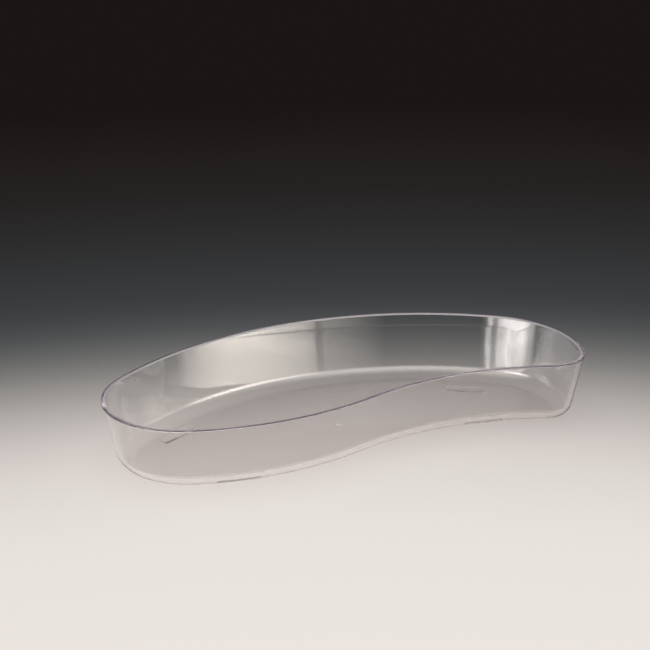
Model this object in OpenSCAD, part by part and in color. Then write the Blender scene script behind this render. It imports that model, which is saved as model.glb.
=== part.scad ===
// Clear plastic kidney dish: one thin moulding with a drafted wall, a rounded bottom edge, a flat floor,
// a flat-topped rim and four low feet. It is drawn as the named zones of that one moulding, and each zone
// meets the next face to face. The outline is the rim's outer edge: six arcs, each tangent to the next.
// The long axis is X, the hollow (waist) side faces -Y, and Z = 0 is the surface that the feet stand on.

/* [Outline] */
// Centre of the round left end, before the outline is centred on the origin
left_centre = [-88, -3]; // [-95:1:-80]
// Radius of the round left end
left_r = 47; // [44:1:50]
// Radius of the shallow bulge in front of the left end
bulge_r = 160; // [140:5:180]
// Direction in which the left end hands over to the bulge, in degrees from +X
left_to_bulge = -112; // [-116:1:-108]
// Radius of the hollow waist
waist_r = 142; // [130:1:160]
// Centre of the tight corner at the front right
corner_centre = [111.5, -44.5]; // [105:0.5:118]
// Radius of the tight corner
corner_r = 20; // [19:1:22]
// Radius of the shoulder that closes the right end
shoulder_r = 60; // [55:1:65]
// Direction in which the corner hands over to the shoulder, in degrees from +X
corner_to_shoulder = -23; // [-28:1:-18]
// Radius of the long back
back_r = 190; // [180:1:210]

/* [Section] */
// Height of the moulding without its feet
body_h = 37.2; // [34:0.2:42]
// Wall thickness, the same all over
thick = 2.8; // [2:0.1:3.2]
// Slope of the wall away from vertical, in degrees
draft = 13; // [10:0.5:15]
// Outer radius of the bend between the wall and the floor
bend_r = 10; // [6:0.5:11]
// Height of the polished band at the top of the wall
rim_h = 2.4; // [2:0.1:4]
// Radius that softens the two top edges of the rim
rim_edge_r = 0.6; // [0.3:0.1:0.9]

/* [Smoothness] */
// Largest gap between the faceted outline and its true arcs
sag = 0.03; // [0.02:0.01:0.1]
// Facets across the bend
bend_steps = 7; // [4:1:8]
// Facets across each softened edge of the rim
rim_edge_steps = 3; // [2:1:4]

/* [Feet] */
// Length of one foot along the outline
foot_l = 24; // [18:1:28]
// Width of one foot
foot_w = 7; // [6:0.5:8]
// Height of one foot, which lifts the floor off the table
foot_h = 0.8; // [0.6:0.1:1.5]
// Radius of a foot's corners in plan
foot_corner_r = 2; // [1:0.5:3]
// Distance from the rim's outer edge to the middle line of a front foot
front_inset = 18.6; // [18:0.1:22]
// The same distance for the back left foot
back_left_inset = 22.5; // [19:0.5:26]
// The same distance for the back right foot
back_right_inset = 25.5; // [20:0.5:27]

/* [Gate] */
// Diameter of the raised spot where the plastic entered the mould
gate_d = 4; // [3:0.5:6]
// Height of the gate's spot under the floor
gate_h = 0.4; // [0.2:0.1:0.5]
// Place of the gate's spot
gate_at = [0, -4.5]; // [-10:0.5:10]

/* [Hidden] */
$fn = 180;
clear = [0.86, 0.85, 0.91, 0.45];

function polar(r, angle) = [r * cos(angle), r * sin(angle)];
function bearing(v) = atan2(v[1], v[0]);
// The sweep from one direction to another, anticlockwise, in degrees
function turn(from, to) = (to - from + 720) % 360;
// The point at distances d1 from p1 and d2 from p2, left (side = 1) or right (side = -1) of the way p1 to p2
function meet(p1, d1, p2, d2, side) =
    let (d = norm(p2 - p1), u = (p2 - p1) / d, along = (d1 * d1 - d2 * d2 + d * d) / (2 * d))
    p1 + along * u + side * sqrt(d1 * d1 - along * along) * [-u[1], u[0]];

// Arc centres, each placed so that neighbouring arcs are tangent
raw_bulge = left_centre + polar(left_r - bulge_r, left_to_bulge);
raw_shoulder = corner_centre + polar(corner_r - shoulder_r, corner_to_shoulder);
raw_waist = meet(raw_bulge, bulge_r + waist_r, corner_centre, corner_r + waist_r, -1);
raw_back = meet(raw_shoulder, back_r - shoulder_r, left_centre, back_r - left_r, 1);
// The middle of the outline's box goes to the origin
middle = [left_centre[0] - left_r + raw_shoulder[0] + shoulder_r,
          corner_centre[1] - corner_r + raw_back[1] + back_r] / 2;
left_c = left_centre - middle;
bulge_c = raw_bulge - middle;
waist_c = raw_waist - middle;
corner_c = corner_centre - middle;
shoulder_c = raw_shoulder - middle;
back_c = raw_back - middle;

bulge_to_waist = bearing(waist_c - bulge_c);
waist_to_corner = bearing(waist_c - corner_c);
shoulder_to_back = bearing(shoulder_c - back_c);
back_to_left = bearing(left_c - back_c);

// One arc of the outline: centre, radius, first direction, sweep, and 1 where it bulges out or -1 where
// it is hollow. All sweeps run anticlockwise about their own centre.
ARCS = [
    [left_c, left_r, back_to_left, turn(back_to_left, left_to_bulge), 1],
    [bulge_c, bulge_r, left_to_bulge, turn(left_to_bulge, bulge_to_waist), 1],
    [waist_c, waist_r, waist_to_corner + 180, turn(waist_to_corner, bulge_to_waist), -1],
    [corner_c, corner_r, waist_to_corner, turn(waist_to_corner, corner_to_shoulder), 1],
    [shoulder_c, shoulder_r, corner_to_shoulder, turn(corner_to_shoulder, shoulder_to_back), 1],
    [back_c, back_r, shoulder_to_back, turn(shoulder_to_back, back_to_left), 1]];
BULGE = ARCS[1];
WAIST = ARCS[2];
BACK = ARCS[5];

// The outline as a walk of stations: a point of the rim's outer edge, and the outward direction there
STATIONS = [
    for (arc = ARCS)
        let (steps = ceil(arc[3] / (2 * acos(1 - sag / arc[1]))))
            for (i = [0:steps - 1])
                let (angle = arc[2] + arc[3] * (arc[4] > 0 ? i : steps - i) / steps)
                    [arc[0] + polar(arc[1], angle), arc[4] * polar(1, angle)]];
// The point of a station at a distance across, 0 on the rim's outer edge and negative towards the inside
function at(station, across) = station[0] + across * station[1];

// The section, in (across, z)
rim_z = foot_h + body_h;
function outer_across(z) = (z - rim_z) * tan(draft);
thick_level = thick / cos(draft);
outer_low = [outer_across(rim_z - rim_h), rim_z - rim_h];
inner_low = outer_low - [thick_level, 0];
bend_centre = [-(body_h - bend_r) * tan(draft) - bend_r / cos(draft), foot_h + bend_r];
// The points of an arc, from one direction to another
function curve(centre, r, from, to, steps) =
    [for (i = [0:steps]) centre + polar(r, from + (to - from) * i / steps)];

// A section's points, anticlockwise, carried along the whole outline as one closed ring
module ring(section) {
    m = len(section);
    n = len(STATIONS);
    polyhedron(
        points = [for (s = STATIONS) for (p = section) [each at(s, p[0]), p[1]]],
        faces = [
            for (i = [0:n - 1], j = [0:m - 1])
                let (i2 = (i + 1) % n, j2 = (j + 1) % m)
                    each [[i * m + j, i * m + j2, i2 * m + j2], [i * m + j, i2 * m + j2, i2 * m + j]]]);
}

// A wedge from the centre of a circle, wide enough to cut a band of the given sweep
module wedge(reach, first, sweep) {
    polygon([[0, 0], polar(reach, first), polar(reach, first + sweep / 2), polar(reach, first + sweep)]);
}

// A band of a ring, from radius r1 to r2, spread by half an angle on both sides of middle_angle
module band(r1, r2, middle_angle, half) {
    intersection() {
        difference() {
            circle(r2);
            circle(r1);
        }
        wedge(2 * r2, middle_angle - half, 2 * half);
    }
}

// A low pad that follows an arc of the outline at an inset and has round corners
module foot(arc, facing, inset) {
    r = arc[1] - arc[4] * inset;
    angle = arc[4] > 0 ? facing : facing + 180;
    half = foot_l / 2 / r * 180 / PI;
    inner_r = r - foot_w / 2 + foot_corner_r;
    outer_r = r + foot_w / 2 - foot_corner_r;
    inner_half = half - asin(foot_corner_r / inner_r);
    outer_half = half - asin(foot_corner_r / outer_r);
    color(clear)
        translate(arc[0])
            linear_extrude(foot_h) {
                band(inner_r, outer_r, angle, half);
                band(inner_r - foot_corner_r, outer_r, angle, inner_half);
                band(inner_r, outer_r + foot_corner_r, angle, outer_half);
                for (side = [-1, 1]) {
                    translate(polar(inner_r, angle + side * inner_half)) circle(foot_corner_r);
                    translate(polar(outer_r, angle + side * outer_half)) circle(foot_corner_r);
                }
            }
}

// The flat floor inside the bend
module floor_panel() {
    color(clear)
        translate([0, 0, foot_h])
            linear_extrude(thick)
                polygon([for (s = STATIONS) at(s, bend_centre[0])]);
}

// The quarter-round between the floor and the wall
module corner_bend() {
    color(clear)
        ring(concat(curve(bend_centre, bend_r, -90, -draft, bend_steps),
                    curve(bend_centre, bend_r - thick, -draft, -90, bend_steps)));
}

// The sloping wall between the bend and the rim
module side_wall() {
    color(clear)
        ring([bend_centre + polar(bend_r - thick, -draft), bend_centre + polar(bend_r, -draft),
              outer_low, inner_low]);
}

// The flat-topped rim, with its two top edges rounded where the flat top meets the wall's two faces
module rim() {
    round_z = rim_z - rim_edge_r;
    round_across = outer_across(round_z) - rim_edge_r / cos(draft);
    opposite = outer_across(round_z) - thick_level + rim_edge_r / cos(draft);
    color(clear)
        ring(concat([inner_low, outer_low],
                    curve([round_across, round_z], rim_edge_r, -draft, 90, rim_edge_steps),
                    curve([opposite, round_z], rim_edge_r, 90, 180 - draft, rim_edge_steps)));
}

module foot_front_left() { foot(BULGE, -101.9, front_inset); }
module foot_front_right() { foot(WAIST, -104, front_inset); }
module foot_back_left() { foot(BACK, 114.8, back_left_inset); }
module foot_back_right() { foot(BACK, 52.9, back_right_inset); }

// The low round spot under the floor
module gate_mark() {
    color(clear)
        translate([gate_at[0], gate_at[1], foot_h - gate_h])
            cylinder(h = gate_h, d = gate_d);
}

floor_panel();
corner_bend();
side_wall();
rim();
foot_front_left();
foot_front_right();
foot_back_left();
foot_back_right();
gate_mark();
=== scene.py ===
import functools
import math

import bmesh
import bpy
import numpy as np
from mathutils import Matrix, Vector

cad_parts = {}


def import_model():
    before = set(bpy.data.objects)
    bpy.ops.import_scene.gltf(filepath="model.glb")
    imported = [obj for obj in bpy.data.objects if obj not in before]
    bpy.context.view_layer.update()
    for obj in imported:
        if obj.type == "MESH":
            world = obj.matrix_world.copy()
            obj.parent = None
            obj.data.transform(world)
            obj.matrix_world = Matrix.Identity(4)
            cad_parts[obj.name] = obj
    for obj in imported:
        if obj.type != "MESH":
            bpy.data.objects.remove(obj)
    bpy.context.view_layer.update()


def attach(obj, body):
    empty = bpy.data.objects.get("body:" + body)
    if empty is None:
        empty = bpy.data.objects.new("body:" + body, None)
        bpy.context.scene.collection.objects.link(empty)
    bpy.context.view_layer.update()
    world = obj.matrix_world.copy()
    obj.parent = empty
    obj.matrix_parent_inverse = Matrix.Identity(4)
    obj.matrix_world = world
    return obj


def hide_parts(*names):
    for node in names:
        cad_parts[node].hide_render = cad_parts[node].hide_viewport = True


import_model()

# The dish's driving sizes, in metres, as in the CAD source. The outline is the rim's outer edge.
MM = 0.001
LEFT_CENTRE, LEFT_R = np.array([-88, -3]) * MM, 47 * MM
CORNER_CENTRE, CORNER_R = np.array([111.5, -44.5]) * MM, 20 * MM
BULGE_R, WAIST_R, SHOULDER_R, BACK_R = 160 * MM, 142 * MM, 60 * MM, 190 * MM
LEFT_TO_BULGE = math.radians(-112)
CORNER_TO_SHOULDER = math.radians(-23)
BODY_H, THICK, DRAFT, BEND_R = 37.2 * MM, 2.8 * MM, math.radians(13), 10 * MM
RIM_H, RIM_EDGE_R = 2.4 * MM, 0.6 * MM
FOOT_L, FOOT_W, FOOT_H, FOOT_CORNER_R, FOOT_EDGE_R = 24 * MM, 7 * MM, 0.8 * MM, 2 * MM, 0.2 * MM
FRONT_INSET, BACK_LEFT_INSET, BACK_RIGHT_INSET = 18.6 * MM, 22.5 * MM, 25.5 * MM
GATE_D, GATE_H, GATE_AT, GATE_EDGE_R = 4 * MM, 0.4 * MM, np.array([0, -4.5]) * MM, 0.15 * MM

# The section: how far across from the rim's outer edge, negative towards the inside, and the height
RIM_Z = FOOT_H + BODY_H
TAN, COS, SIN = math.tan(DRAFT), math.cos(DRAFT), math.sin(DRAFT)
BEND_CENTRE = np.array([-(BODY_H - BEND_R) * TAN - BEND_R / COS, FOOT_H + BEND_R])
WALL_TOP = np.array([-RIM_H * TAN, RIM_Z - RIM_H])
ACROSS_THICK = np.array([THICK / COS, 0])
OUT = np.array([COS, -SIN])  # the wall's outward direction in the section

STATION_STEP = 1 * MM
SOFTENING = 4 * MM  # over this length one arc's curvature passes into the next, as in a real moulding
BEND_STEPS, RIM_EDGE_STEPS, WALL_STEPS = 16, 8, 8

# A piece's material slots. EDGE is the inner half of the rim's top, or a pad's side.
# POLISHED is the outer half of the rim's top.
PLASTIC, JOINT, EDGE, POLISHED = 0, 1, 2, 3


def polar(r, angle):
    return r * np.array([math.cos(angle), math.sin(angle)])


def bearing(v):
    return math.atan2(v[1], v[0])


def turn(start, end):
    return (end - start) % math.tau


# ------------------------------------------------------------------------------------------- outline
def meet(p1, d1, p2, d2, side):
    """The point at distances d1 from p1 and d2 from p2, left (1) or right (-1) of the way from p1 to p2."""
    d = np.linalg.norm(p2 - p1)
    u = (p2 - p1) / d
    along = (d1 * d1 - d2 * d2 + d * d) / (2 * d)
    return p1 + along * u + side * math.sqrt(d1 * d1 - along * along) * np.array([-u[1], u[0]])


def outline_arcs():
    """The six tangent arcs: centre, radius, first outward direction, and its turn, negative where hollow."""
    bulge = LEFT_CENTRE + polar(LEFT_R - BULGE_R, LEFT_TO_BULGE)
    shoulder = CORNER_CENTRE + polar(CORNER_R - SHOULDER_R, CORNER_TO_SHOULDER)
    waist = meet(bulge, BULGE_R + WAIST_R, CORNER_CENTRE, CORNER_R + WAIST_R, -1)
    back = meet(shoulder, BACK_R - SHOULDER_R, LEFT_CENTRE, BACK_R - LEFT_R, 1)
    low = np.array([LEFT_CENTRE[0] - LEFT_R, CORNER_CENTRE[1] - CORNER_R])
    high = np.array([shoulder[0] + SHOULDER_R, back[1] + BACK_R])
    middle = (low + high) / 2
    to_waist = bearing(waist - bulge)
    to_corner = bearing(waist - CORNER_CENTRE)
    to_back = bearing(shoulder - back)
    to_left = bearing(LEFT_CENTRE - back)
    return {
        "left": (LEFT_CENTRE - middle, LEFT_R, to_left, turn(to_left, LEFT_TO_BULGE)),
        "bulge": (bulge - middle, BULGE_R, LEFT_TO_BULGE, turn(LEFT_TO_BULGE, to_waist)),
        "waist": (waist - middle, WAIST_R, to_waist, -turn(to_corner, to_waist)),
        "corner": (CORNER_CENTRE - middle, CORNER_R, to_corner, turn(to_corner, CORNER_TO_SHOULDER)),
        "shoulder": (shoulder - middle, SHOULDER_R, CORNER_TO_SHOULDER, turn(CORNER_TO_SHOULDER, to_back)),
        "back": (back - middle, BACK_R, to_back, turn(to_back, to_left)),
    }


class Outline:
    """Stations round the rim's outer edge, evenly spaced, each with a point and an outward direction."""

    def __init__(self):
        self.arcs = outline_arcs()
        lengths = np.array([abs(a[3]) * a[1] for a in self.arcs.values()])
        self.ends = np.concatenate([[0], np.cumsum(lengths)])
        self.length = self.ends[-1]
        n = round(self.length / STATION_STEP)
        self.s = np.arange(n) * self.length / n
        self.first = self.arcs["left"][2]
        turned = np.concatenate([[0], np.cumsum([a[3] for a in self.arcs.values()])])
        steady = math.tau * self.s / self.length
        uneven = np.interp(self.s, self.ends, turned) - steady
        wave = np.fft.rfftfreq(n, self.length / n)
        uneven = np.fft.irfft(np.fft.rfft(uneven) * np.exp(-2 * (math.pi * wave * SOFTENING) ** 2), n)
        self.facing = self.first + steady + uneven
        self.out = np.c_[np.cos(self.facing), np.sin(self.facing)]
        ahead = np.c_[-self.out[:, 1], self.out[:, 0]]
        steps = (ahead + np.roll(ahead, -1, axis=0)) / 2 * self.length / n
        steps -= steps.mean(axis=0)
        points = np.cumsum(steps, axis=0) - steps
        self.point = points - (points - self.on_arcs()).mean(axis=0)

    def on_arcs(self):
        """The stations' places on the exact arcs, to put the softened outline back over them."""
        places = np.zeros((len(self.s), 2))
        for (centre, r, first, sweep), start, end in zip(self.arcs.values(), self.ends, self.ends[1:]):
            here = (self.s >= start) & (self.s < end)
            angle = first + (self.s[here] - start) / (end - start) * sweep
            places[here] = centre + math.copysign(r, sweep) * np.c_[np.cos(angle), np.sin(angle)]
        return places

    def at(self, s, across):
        """The plan point at a length along the outline and a distance across it."""
        wrap = np.append(self.s, self.length)
        s = s % self.length

        def between(values):
            values = np.vstack([values, values[:1]])
            return np.array([np.interp(s, wrap, values[:, k]) for k in (0, 1)])

        out = between(self.out)
        return between(self.point) + across * out / np.linalg.norm(out)

    def where(self, name, facing):
        """The length along the outline at which an arc faces a direction."""
        k = list(self.arcs).index(name)
        first, sweep = self.arcs[name][2:]
        turned = (facing - first) % math.tau if sweep > 0 else -((first - facing) % math.tau)
        return self.ends[k] + turned / sweep * (self.ends[k + 1] - self.ends[k])


outline = Outline()


# ------------------------------------------------------------------------------------------- meshes
def finish_mesh(name, bm, normals=None):
    """A smooth object from a bmesh, with its own normals at the corners of its faces where they are given."""
    mesh = bpy.data.meshes.new(name)
    bm.to_mesh(mesh)
    bm.free()
    mesh.shade_smooth()
    if normals is not None:
        mesh.normals_split_custom_set(normals)
    obj = bpy.data.objects.new(name, mesh)
    bpy.context.collection.objects.link(obj)
    return obj


def face_of(bm, verts, slot):
    face = bm.faces.new(verts)
    face.material_index = slot
    return face


def ring(name, edges):
    """A closed ring with one section all along the outline.
    Each edge of the section is (point, normal there, normal at the next point, material slot)."""
    bm = bmesh.new()
    n, m = len(outline.s), len(edges)
    rows = []
    for point, out in zip(outline.point, outline.out):
        rows.append([bm.verts.new((*(point + e[0][0] * out), e[0][1])) for e in edges])
    normals = []
    for i in range(n):
        here, there = outline.out[i], outline.out[(i + 1) % n]
        row, row2 = rows[i], rows[(i + 1) % n]
        for j, (_, n1, n2, slot) in enumerate(edges):
            k = (j + 1) % m
            face_of(bm, (row[j], row2[j], row2[k], row[k]), slot)
            for out, normal in ((here, n1), (there, n1), (there, n2), (here, n2)):
                normals.append((*(out * normal[0]), normal[1]))
    return finish_mesh(name, bm, normals)


def line(p1, p2, normal, steps, slot=PLASTIC):
    """Section edges along a straight line that ends before p2."""
    return [(p1 + (p2 - p1) * k / steps, normal, normal, slot) for k in range(steps)]


def arc(centre, r, start, end, steps, slot=PLASTIC):
    """Section edges along an arc that ends before its last point.
    A hollow arc, which runs backwards (end < start), faces its centre."""
    side = 1 if end > start else -1
    angles = [start + (end - start) * k / steps for k in range(steps + 1)]
    return [(centre + polar(r, a), side * polar(1, a), side * polar(1, b), slot)
            for a, b in zip(angles, angles[1:])]


def joint(p, normal):
    """The section edge where one zone of the moulding passes into the next."""
    return [(p, normal, normal, JOINT)]


UP, DOWN, IN, ALONG = np.array([0, 1]), np.array([0, -1]), -OUT, np.array([SIN, COS])


def corner_bend():
    """The quarter-round between the floor and the wall."""
    inner_r = BEND_R - THICK
    return ring("corner_bend",
                arc(BEND_CENTRE, BEND_R, -math.pi / 2, -DRAFT, BEND_STEPS)
                + joint(BEND_CENTRE + BEND_R * OUT, ALONG)
                + arc(BEND_CENTRE, inner_r, -DRAFT, -math.pi / 2, BEND_STEPS)
                + joint(BEND_CENTRE + inner_r * DOWN, np.array([-1, 0])))


def side_wall():
    """The sloping wall between the bend and the rim."""
    inner_foot, outer_foot = BEND_CENTRE + (BEND_R - THICK) * OUT, BEND_CENTRE + BEND_R * OUT
    return ring("side_wall",
                joint(inner_foot, -ALONG)
                + line(outer_foot, WALL_TOP, OUT, WALL_STEPS)
                + joint(WALL_TOP, UP)
                + line(WALL_TOP - ACROSS_THICK, inner_foot, IN, WALL_STEPS))


def rim():
    """The flat-topped rim with its two rounded edges."""
    round_z = RIM_Z - RIM_EDGE_R
    edge = np.array([-RIM_EDGE_R * TAN - RIM_EDGE_R / COS, round_z])
    opposite = np.array([-RIM_EDGE_R * TAN - THICK / COS + RIM_EDGE_R / COS, round_z])
    inner_low = WALL_TOP - ACROSS_THICK
    outer_touch, inner_touch = edge + RIM_EDGE_R * OUT, opposite + RIM_EDGE_R * IN
    top_middle = (edge + opposite) / 2 + RIM_EDGE_R * UP
    return ring("rim",
                joint(inner_low, DOWN)
                + line(WALL_TOP, outer_touch, OUT, 2)
                + arc(edge, RIM_EDGE_R, -DRAFT, math.pi / 2, RIM_EDGE_STEPS, POLISHED)
                + line(edge + RIM_EDGE_R * UP, top_middle, UP, 1, POLISHED)
                + line(top_middle, opposite + RIM_EDGE_R * UP, UP, 1, EDGE)
                + arc(opposite, RIM_EDGE_R, math.pi / 2, math.pi - DRAFT, RIM_EDGE_STEPS, EDGE)
                + line(inner_touch, inner_low, IN, 2))


def rounded_pad(length, width, r, steps=8):
    """A rounded rectangle's points, anticlockwise, in (along, across)."""
    corners = [(1, 1, 0), (-1, 1, 90), (-1, -1, 180), (1, -1, 270)]
    points = []
    for x, y, first in corners:
        centre = np.array([x * (length / 2 - r), y * (width / 2 - r)])
        points += [centre + polar(r, math.radians(first + 90 * k / steps)) for k in range(steps + 1)]
    return points


FLAT_START = BEND_CENTRE[0] - 0.05 * MM  # just inside the edge of the floor's flat underside
TOP_STEP = 0.1 * MM  # how far below the floor a pad reaches its full size
PAD_CREASE = math.radians(40)

# Each foot: the arc it follows, the direction it faces in degrees, and its inset
FEET = {
    "foot_front_left": ("bulge", -101.9, FRONT_INSET),
    "foot_front_right": ("waist", -104, FRONT_INSET),
    "foot_back_left": ("back", 114.8, BACK_LEFT_INSET),
    "foot_back_right": ("back", 52.9, BACK_RIGHT_INSET),
}


def foot_loop(name, facing, inset, trim=0.0, reach=0.0):
    """A foot's edge in plan, drawn in by the trim. It follows an arc of the outline at an inset.
    No point of it lies further across than the reach."""
    s = outline.where(name, math.radians(facing))
    r, sweep = outline.arcs[name][1], outline.arcs[name][3]
    stretch = r / (r - math.copysign(inset, sweep))
    pad = rounded_pad(FOOT_L - 2 * trim, FOOT_W - 2 * trim, FOOT_CORNER_R - trim)
    # Along the outline and outwards is a left-handed pair, so the walk is reversed
    return [outline.at(s + along * stretch, min(across - inset, reach))
            for along, across in reversed(pad)]


def gate_loop(trim=0.0, steps=48):
    """The edge of the gate's spot in plan, drawn in by the trim."""
    return [GATE_AT + polar(GATE_D / 2 - trim, math.tau * k / steps) for k in range(steps)]


def puck(name, top, loop, height, edge_r, steps=4):
    """A low pad under the floor. Its top, a list of plan points, joins the flat underside.
    Its side has the loop's shape, and its lower edge is rounded."""
    bm = bmesh.new()
    levels = []
    for k in range(steps + 1):
        angle = math.pi / 2 * k / steps
        levels.append((edge_r * (1 - math.cos(angle)), FOOT_H - height + edge_r * (1 - math.sin(angle))))
    rows = [[bm.verts.new((*p, FOOT_H)) for p in top]]
    rows.append([bm.verts.new((*p, FOOT_H - TOP_STEP)) for p in loop()])
    rows += [[bm.verts.new((*p, z)) for p in loop(trim)] for trim, z in levels]
    m = len(rows[0])
    face_of(bm, rows[0], JOINT)
    for upper, lower in zip(rows, rows[1:]):
        for j in range(m):
            face_of(bm, (upper[j], lower[j], lower[(j + 1) % m], upper[(j + 1) % m]), EDGE)
    face_of(bm, list(reversed(rows[-1])), PLASTIC)
    obj = finish_mesh(name, bm)
    obj.data.set_sharp_from_angle(angle=PAD_CREASE)
    return obj


def floor_panel():
    """The flat floor. Where a pad joins its underside, the face is a joint."""
    bm = bmesh.new()
    edge = [p + BEND_CENTRE[0] * o for p, o in zip(outline.point, outline.out)]
    top = [bm.verts.new((*p, FOOT_H + THICK)) for p in edge]
    under = [bm.verts.new((*p, FOOT_H)) for p in edge]
    n = len(edge)
    face_of(bm, top, PLASTIC)
    for i in range(n):
        k = (i + 1) % n
        face_of(bm, (under[i], under[k], top[k], top[i]), JOINT)
    holes = [foot_loop(*place, reach=FLAT_START) for place in FEET.values()] + [gate_loop()]
    rims = [bm.edges.get((under[i], under[(i + 1) % n])) for i in range(n)]
    loops = []
    for points in holes:
        verts = [bm.verts.new((*p, FOOT_H)) for p in points]
        loops.append(verts)
        rims += [bm.edges.new((a, b)) for a, b in zip(verts, verts[1:] + verts[:1])]
    filled = bmesh.ops.triangle_fill(bm, use_beauty=True, edges=rims, normal=(0, 0, -1))
    for face in filled["geom"]:
        if isinstance(face, bmesh.types.BMFace):
            face.material_index = PLASTIC
    for verts in loops:
        face_of(bm, list(reversed(verts)), JOINT)
    bmesh.ops.recalc_face_normals(bm, faces=bm.faces)
    normals = [face.normal[:] for face in bm.faces for _ in face.loops]
    return finish_mesh("floor_panel", bm, normals)


# ---------------------------------------------------------------------------------------- materials
class Nodes:
    """Adds shader nodes to a material or light in few words."""

    def __init__(self, tree):
        self.tree = tree
        tree.nodes.clear()

    def add(self, kind, settings=None, **inputs):
        node = self.tree.nodes.new(kind)
        for key, value in (settings or {}).items():
            setattr(node, key, value)
        for key, value in inputs.items():
            socket = node.inputs[key.replace("_", " ")]
            if isinstance(value, bpy.types.NodeSocket):
                self.tree.links.new(value, socket)
            else:
                socket.default_value = value
        return node

    def math(self, operation, *values):
        node = self.tree.nodes.new("ShaderNodeMath")
        node.operation = operation
        for socket, value in zip(node.inputs, values):
            if isinstance(value, bpy.types.NodeSocket):
                self.tree.links.new(value, socket)
            else:
                socket.default_value = value
        return node.outputs[0]

    def output(self, surface):
        out = self.tree.nodes.new("ShaderNodeOutputMaterial")
        self.tree.links.new(surface, out.inputs["Surface"])


def new_material(name):
    material = bpy.data.materials.new(name)
    material.use_nodes = True
    return material, Nodes(material.node_tree)


INDEX = 1.57  # how strongly the plastic bends light
WAVE_SCALE, WAVE_H = 28.0, 0.06 * MM  # the mould's slow waves, about 35 mm long
SCRATCH_SCALE = 900.0  # fine scratches, about 1 mm apart
SCRATCHED = (0.35, 0.75)  # the part of their noise that changes the roughness
LESS_ROUGH, MORE_ROUGH = 0.8, 1.3
GLOSS = 0.015  # roughness of the clear faces


def clear_plastic(name, tint, roughness=GLOSS, haze=0.0):
    """Clear moulded plastic: slow waves from the mould, fine scratches, and a lamp that shines through it.
    Haze is the share of light that a matte face scatters."""
    material, n = new_material(name)
    place = n.add("ShaderNodeTexCoord").outputs["Object"]
    waves = n.add("ShaderNodeTexNoise", Vector=place, Scale=WAVE_SCALE, Detail=1.0, Roughness=0.4)
    flow = n.add("ShaderNodeBump", Strength=1.0, Distance=WAVE_H, Height=waves.outputs["Fac"])
    fine = n.add("ShaderNodeTexNoise", Vector=place, Scale=SCRATCH_SCALE, Detail=3.0, Roughness=0.6)
    wear = n.add("ShaderNodeMapRange", Value=fine.outputs["Fac"],
                 From_Min=SCRATCHED[0], From_Max=SCRATCHED[1],
                 To_Min=roughness * LESS_ROUGH, To_Max=roughness * MORE_ROUGH)
    body = n.add("ShaderNodeBsdfPrincipled", Roughness=wear.outputs["Result"], IOR=INDEX,
                 Normal=flow.outputs["Normal"])
    body.inputs["Base Color"].default_value = (*tint, 1)
    body.inputs["Transmission Weight"].default_value = 1.0 - haze
    through = n.add("ShaderNodeBsdfTransparent", Color=(*LAMP_TINT, 1))
    lamps = n.add("ShaderNodeLightPath").outputs["Is Shadow Ray"]
    mix = n.add("ShaderNodeMixShader", Fac=lamps)
    n.tree.links.new(body.outputs[0], mix.inputs[1])
    n.tree.links.new(through.outputs[0], mix.inputs[2])
    n.output(mix.outputs[0])
    return material


def joint_material():
    """Where two zones of the one moulding meet there is no surface, so light passes straight on."""
    material, n = new_material("moulding_joint")
    n.output(n.add("ShaderNodeBsdfTransparent").outputs[0])
    return material


# The colour that each kind of face gives to light on its way through
BODY_TINT = (0.94, 0.93, 0.93)
# The bend's copy of the plastic lets more light through than the body's. This is painted light that brightens
# the band along the dish's foot. The matte faces use the same lighter tint.
BEND_PAINTED_LIGHTER_TINT = (0.995, 0.985, 0.985)
EDGE_TINT = (0.80, 0.75, 0.80)
POLISHED_TINT = (0.72, 0.64, 0.73)
LAMP_TINT = (0.99, 0.98, 0.98)  # and the same for the lamp's light, at every face
body_plastic = clear_plastic("clear_plastic", BODY_TINT)
bend_plastic = clear_plastic("clear_plastic_bend", BEND_PAINTED_LIGHTER_TINT)
polished_plastic = clear_plastic("polished_top", POLISHED_TINT, roughness=0.12, haze=0.1)
edge_plastic = clear_plastic("soft_edge", EDGE_TINT, roughness=0.2, haze=0.4)
matte_plastic = clear_plastic("matte_plastic", BEND_PAINTED_LIGHTER_TINT, roughness=0.3, haze=0.15)
joint_plastic = joint_material()

# ------------------------------------------------------------------------------------------- pieces
pieces = [floor_panel(), corner_bend(), side_wall(), rim()]
for foot, place in FEET.items():
    top = foot_loop(*place, reach=FLAT_START)
    pieces.append(puck(foot, top, functools.partial(foot_loop, *place), FOOT_H, FOOT_EDGE_R))
pieces.append(puck("gate_mark", gate_loop(), gate_loop, GATE_H, GATE_EDGE_R))

for piece in pieces:
    node = piece.name.split(".")[0]
    piece.name = "clear_" + node
    face = {"corner_bend": bend_plastic, "gate_mark": matte_plastic}.get(node, body_plastic)
    edges = [edge_plastic, polished_plastic] if node == "rim" else [matte_plastic]
    for material in [face, joint_plastic] + edges:
        piece.data.materials.append(material)
    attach(piece, "root")
    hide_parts(node)

# -------------------------------------------------------------------------------------------- stage
HEADING = math.radians(25.69)  # the camera looks from the hollow side, from +Y towards +X
TILT = math.radians(22.25)
ROLL = math.radians(-1.08)
CAMERA_AT = (-0.5406, -1.1150, 0.5673)
LENS, SENSOR_WIDTH = 135.5, 36  # in the camera's own millimetres
NEAREST, FURTHEST = 0.05, 20  # what the camera can see
# The middle of the pool of light painted on the sweep
PAINTED_POOL_CENTRE = Vector((-math.sin(HEADING), -math.cos(HEADING), 0)) * 0.8  # on the camera's side of the dish
TABLE_GAP = 0.05 * MM  # keeps the feet's undersides off the sweep
SWEEP_R, SWEEP_SEGMENTS = 4.0, 96
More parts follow.
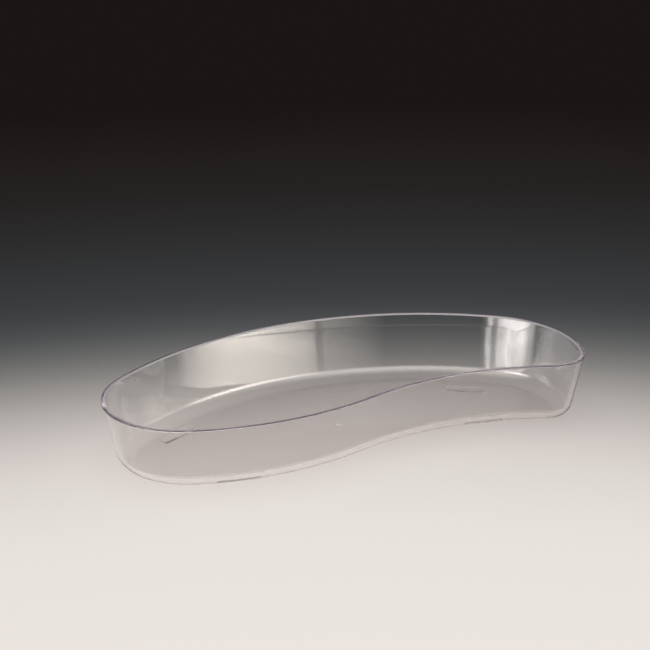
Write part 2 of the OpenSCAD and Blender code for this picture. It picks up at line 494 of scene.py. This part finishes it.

# The pool of light painted on the sweep: how pale it is at each distance from the pool's middle: distance,
# red, green, blue
SWEEP_PAINTED_POOL = [(0.00, 0.84, 0.80, 0.77), (0.50, 0.83, 0.78, 0.75), (0.67, 0.81, 0.765, 0.731),
         (0.75, 0.713, 0.67, 0.64), (0.80, 0.585, 0.54, 0.52), (0.85, 0.377, 0.356, 0.337),
         (0.90, 0.172, 0.171, 0.167), (0.95, 0.066, 0.070, 0.073), (1.00, 0.043, 0.046, 0.049),
         (1.10, 0.027, 0.0273, 0.028), (1.20, 0.020, 0.0175, 0.0168), (1.40, 0.009, 0.0065, 0.006)]


def sweep():
    """The matte sheet that the dish stands on, with a pool of light painted on it: pale round the dish and
    dark far behind it.
    """
    bm = bmesh.new()
    bmesh.ops.create_circle(bm, cap_ends=True, segments=SWEEP_SEGMENTS, radius=SWEEP_R)
    floor = finish_mesh("sweep", bm)
    floor.location.z = -TABLE_GAP
    # The sweep's colour is a painted pool of light, pale near its middle and dark far from it
    material, n = new_material("sweep_painted_light_pool")
    place = n.add("ShaderNodeTexCoord").outputs["Object"]
    away = n.add("ShaderNodeVectorMath", {"operation": "DISTANCE"})
    n.tree.links.new(place, away.inputs[0])
    away.inputs[1].default_value = PAINTED_POOL_CENTRE
    reach = n.add("ShaderNodeMapRange", Value=away.outputs["Value"], From_Max=SWEEP_PAINTED_POOL[-1][0])
    ramp = n.add("ShaderNodeValToRGB", Fac=reach.outputs["Result"])
    stops = ramp.color_ramp
    stops.interpolation = "B_SPLINE"
    while len(stops.elements) < len(SWEEP_PAINTED_POOL):
        stops.elements.new(1.0)
    for element, (distance, *tone) in zip(stops.elements, SWEEP_PAINTED_POOL):
        element.position = distance / SWEEP_PAINTED_POOL[-1][0]
        element.color = (*tone, 1)
    n.output(n.add("ShaderNodeBsdfDiffuse", Color=ramp.outputs["Color"]).outputs[0])
    floor.data.materials.append(material)


def ramp_of(n, value, stops):
    """A smooth grey ramp through (value, brightness) stops."""
    low, high = stops[0][0], stops[-1][0]
    reach = n.add("ShaderNodeMapRange", Value=value, From_Min=low, From_Max=high)
    ramp = n.add("ShaderNodeValToRGB", Fac=reach.outputs["Result"])
    elements = ramp.color_ramp.elements
    while len(elements) < len(stops):
        elements.new(1.0)
    for element, (place, brightness) in zip(elements, stops):
        element.position = (place - low) / (high - low)
        element.color = (brightness, brightness, brightness, 1)
    return ramp.outputs["Color"]


TABLE_SHARE = 0.15  # how much of a card's light the dish may throw on to the sweep
CARD_STEP_ACROSS, CARD_STEP_UP = 2, 4  # in degrees


def light_card(name, azimuth, radius, across, upwards, strength, colour):
    """Part of a glowing dome round the dish, azimuth degrees from +Y towards +X. Its brightness fades through
    stops across it, in degrees from its middle, and upwards, in degrees. It shows only in the plastic."""
    bm = bmesh.new()
    first, last, low, high = across[0][0], across[-1][0], upwards[0][0], upwards[-1][0]
    wide, tall = math.ceil((last - first) / CARD_STEP_ACROSS), math.ceil((high - low) / CARD_STEP_UP)
    rows = []
    for k in range(wide + 1):
        a = math.radians(first + (last - first) * k / wide)
        column = []
        for m in range(tall + 1):
            up = math.radians(low + (high - low) * m / tall)
            flat = radius * math.cos(up)
            column.append(bm.verts.new((flat * math.sin(a), flat * math.cos(a), radius * math.sin(up))))
        rows.append(column)
    for left, right in zip(rows, rows[1:]):
        for m in range(tall):
            face_of(bm, (left[m], right[m], right[m + 1], left[m + 1]), 0)
    card = finish_mesh(name, bm)
    card.rotation_euler.z = -math.radians(azimuth)
    material, n = new_material(name + "_glow")
    place = n.add("ShaderNodeTexCoord").outputs["Object"]
    xyz = n.add("ShaderNodeSeparateXYZ", Vector=place).outputs
    angle = n.math("ARCTAN2", xyz["X"], xyz["Y"])
    height = n.math("ARCSINE", n.math("DIVIDE", xyz["Z"], radius))
    sideways = ramp_of(n, angle, [(math.radians(a), b) for a, b in across])
    upright = ramp_of(n, height, [(math.radians(a), b) for a, b in upwards])
    on_plastic = n.math("LESS_THAN", n.add("ShaderNodeLightPath").outputs["Diffuse Depth"], 0.5)
    share = n.math("MAXIMUM", on_plastic, TABLE_SHARE)
    fade = n.math("MULTIPLY", sideways, upright)
    power = n.math("MULTIPLY", fade, n.math("MULTIPLY", share, strength))
    glow = n.add("ShaderNodeEmission", Color=(*colour, 1), Strength=power)
    both = n.add("ShaderNodeAddShader")
    n.tree.links.new(glow.outputs[0], both.inputs[0])
    n.tree.links.new(n.add("ShaderNodeBsdfTransparent").outputs[0], both.inputs[1])
    n.output(both.outputs[0])
    card.data.materials.append(material)
    card.visible_camera = False
    card.visible_diffuse = False
    card.visible_shadow = False


TABLE_LEVEL = 0.965  # how bright the sweep shows where its tone is 1
SOFTNESS = math.radians(60)  # how wide the lamp is in the sky


def table_light():
    """Even light from above, under which the sweep shows the pool of light painted on it."""
    light = bpy.data.lights.new("table_light", "SUN")
    light.energy = TABLE_LEVEL * math.pi
    light.angle = SOFTNESS
    lamp = bpy.data.objects.new("table_light", light)
    bpy.context.collection.objects.link(lamp)
    lamp.visible_glossy = False
    lamp.visible_transmission = False


def camera():
    data = bpy.data.cameras.new("camera")
    data.lens, data.sensor_width = LENS, SENSOR_WIDTH
    data.clip_start, data.clip_end = NEAREST, FURTHEST
    cam = bpy.data.objects.new("camera", data)
    bpy.context.collection.objects.link(cam)
    aim = Matrix.Rotation(-HEADING, 4, "Z") @ Matrix.Rotation(math.pi / 2 - TILT, 4, "X")
    cam.matrix_world = Matrix.Translation(CAMERA_AT) @ aim @ Matrix.Rotation(ROLL, 4, "Z")
    bpy.context.scene.camera = cam


STUDIO = (0.045, 0.043, 0.042, 1)  # the colour of the dim room


def world():
    made = bpy.data.worlds.new("dark_studio")
    made.use_nodes = True
    made.node_tree.nodes["Background"].inputs["Color"].default_value = STUDIO
    bpy.context.scene.world = made


TURNS = 32


def light_paths():
    """Clear walls guide light along themselves, so light may turn many times inside them."""
    cycles = bpy.context.scene.cycles
    cycles.max_bounces = TURNS
    cycles.glossy_bounces = TURNS
    cycles.transmission_bounces = TURNS
    cycles.transparent_max_bounces = TURNS


LOW_CARD_R, TOP_CARD_R = 0.32, 0.9

# How bright each card is: (degrees from its middle, brightness) across it and (degrees, brightness) upwards
RIGHT_ACROSS = [(-45, 0), (-38, 0.18), (-26, 0.13), (-22, 0.46), (-12, 0.89), (-6, 1), (6, 0.85), (17, 0.53),
                (20, 0.39), (20.9, 0.16), (22, 0.16), (22.9, 0.25), (36, 0.05), (40, 0)]
LEFT_ACROSS = [(-32, 0), (-30.6, 0.06), (-29.6, 0.5), (-28.6, 0.55), (-27.6, 0.2), (-25.8, 0.24), (-24, 0.62),
               (-18, 0.82), (-4, 1), (6, 0.97), (13, 0.8), (17, 0.45), (23, 0.38), (28, 0.1), (32, 0)]
LOW_UPWARDS = [(0, 0.41), (5.2, 0.68), (6.3, 0.86), (7.4, 0.88), (8.6, 0.71), (13, 0.83), (18, 0.85),
               (24, 0.5), (30, 0.15), (36, 0)]
TOP_ACROSS = [(-80, 0), (-50, 0.35), (-20, 1), (20, 1), (50, 0.85), (70, 0.5), (84, 0)]
TOP_UPWARDS = [(8, 0), (15, 0.35), (23, 0.85), (32, 1), (43, 0.9), (55, 0.5), (70, 0.2), (86, 0)]

sweep()
world()
camera()
table_light()
light_card("card_right", azimuth=150, radius=LOW_CARD_R, across=RIGHT_ACROSS, upwards=LOW_UPWARDS,
           strength=9.1, colour=(1.08, 1, 0.91))
light_card("card_left", azimuth=-110, radius=LOW_CARD_R, across=LEFT_ACROSS, upwards=LOW_UPWARDS,
           strength=11.5, colour=(1.05, 1, 0.97))
light_card("card_top", azimuth=-160, radius=TOP_CARD_R, across=TOP_ACROSS, upwards=TOP_UPWARDS,
           strength=2.9, colour=(1.05, 1, 0.95))
bpy.context.scene.view_settings.view_transform = "Standard"
light_paths()
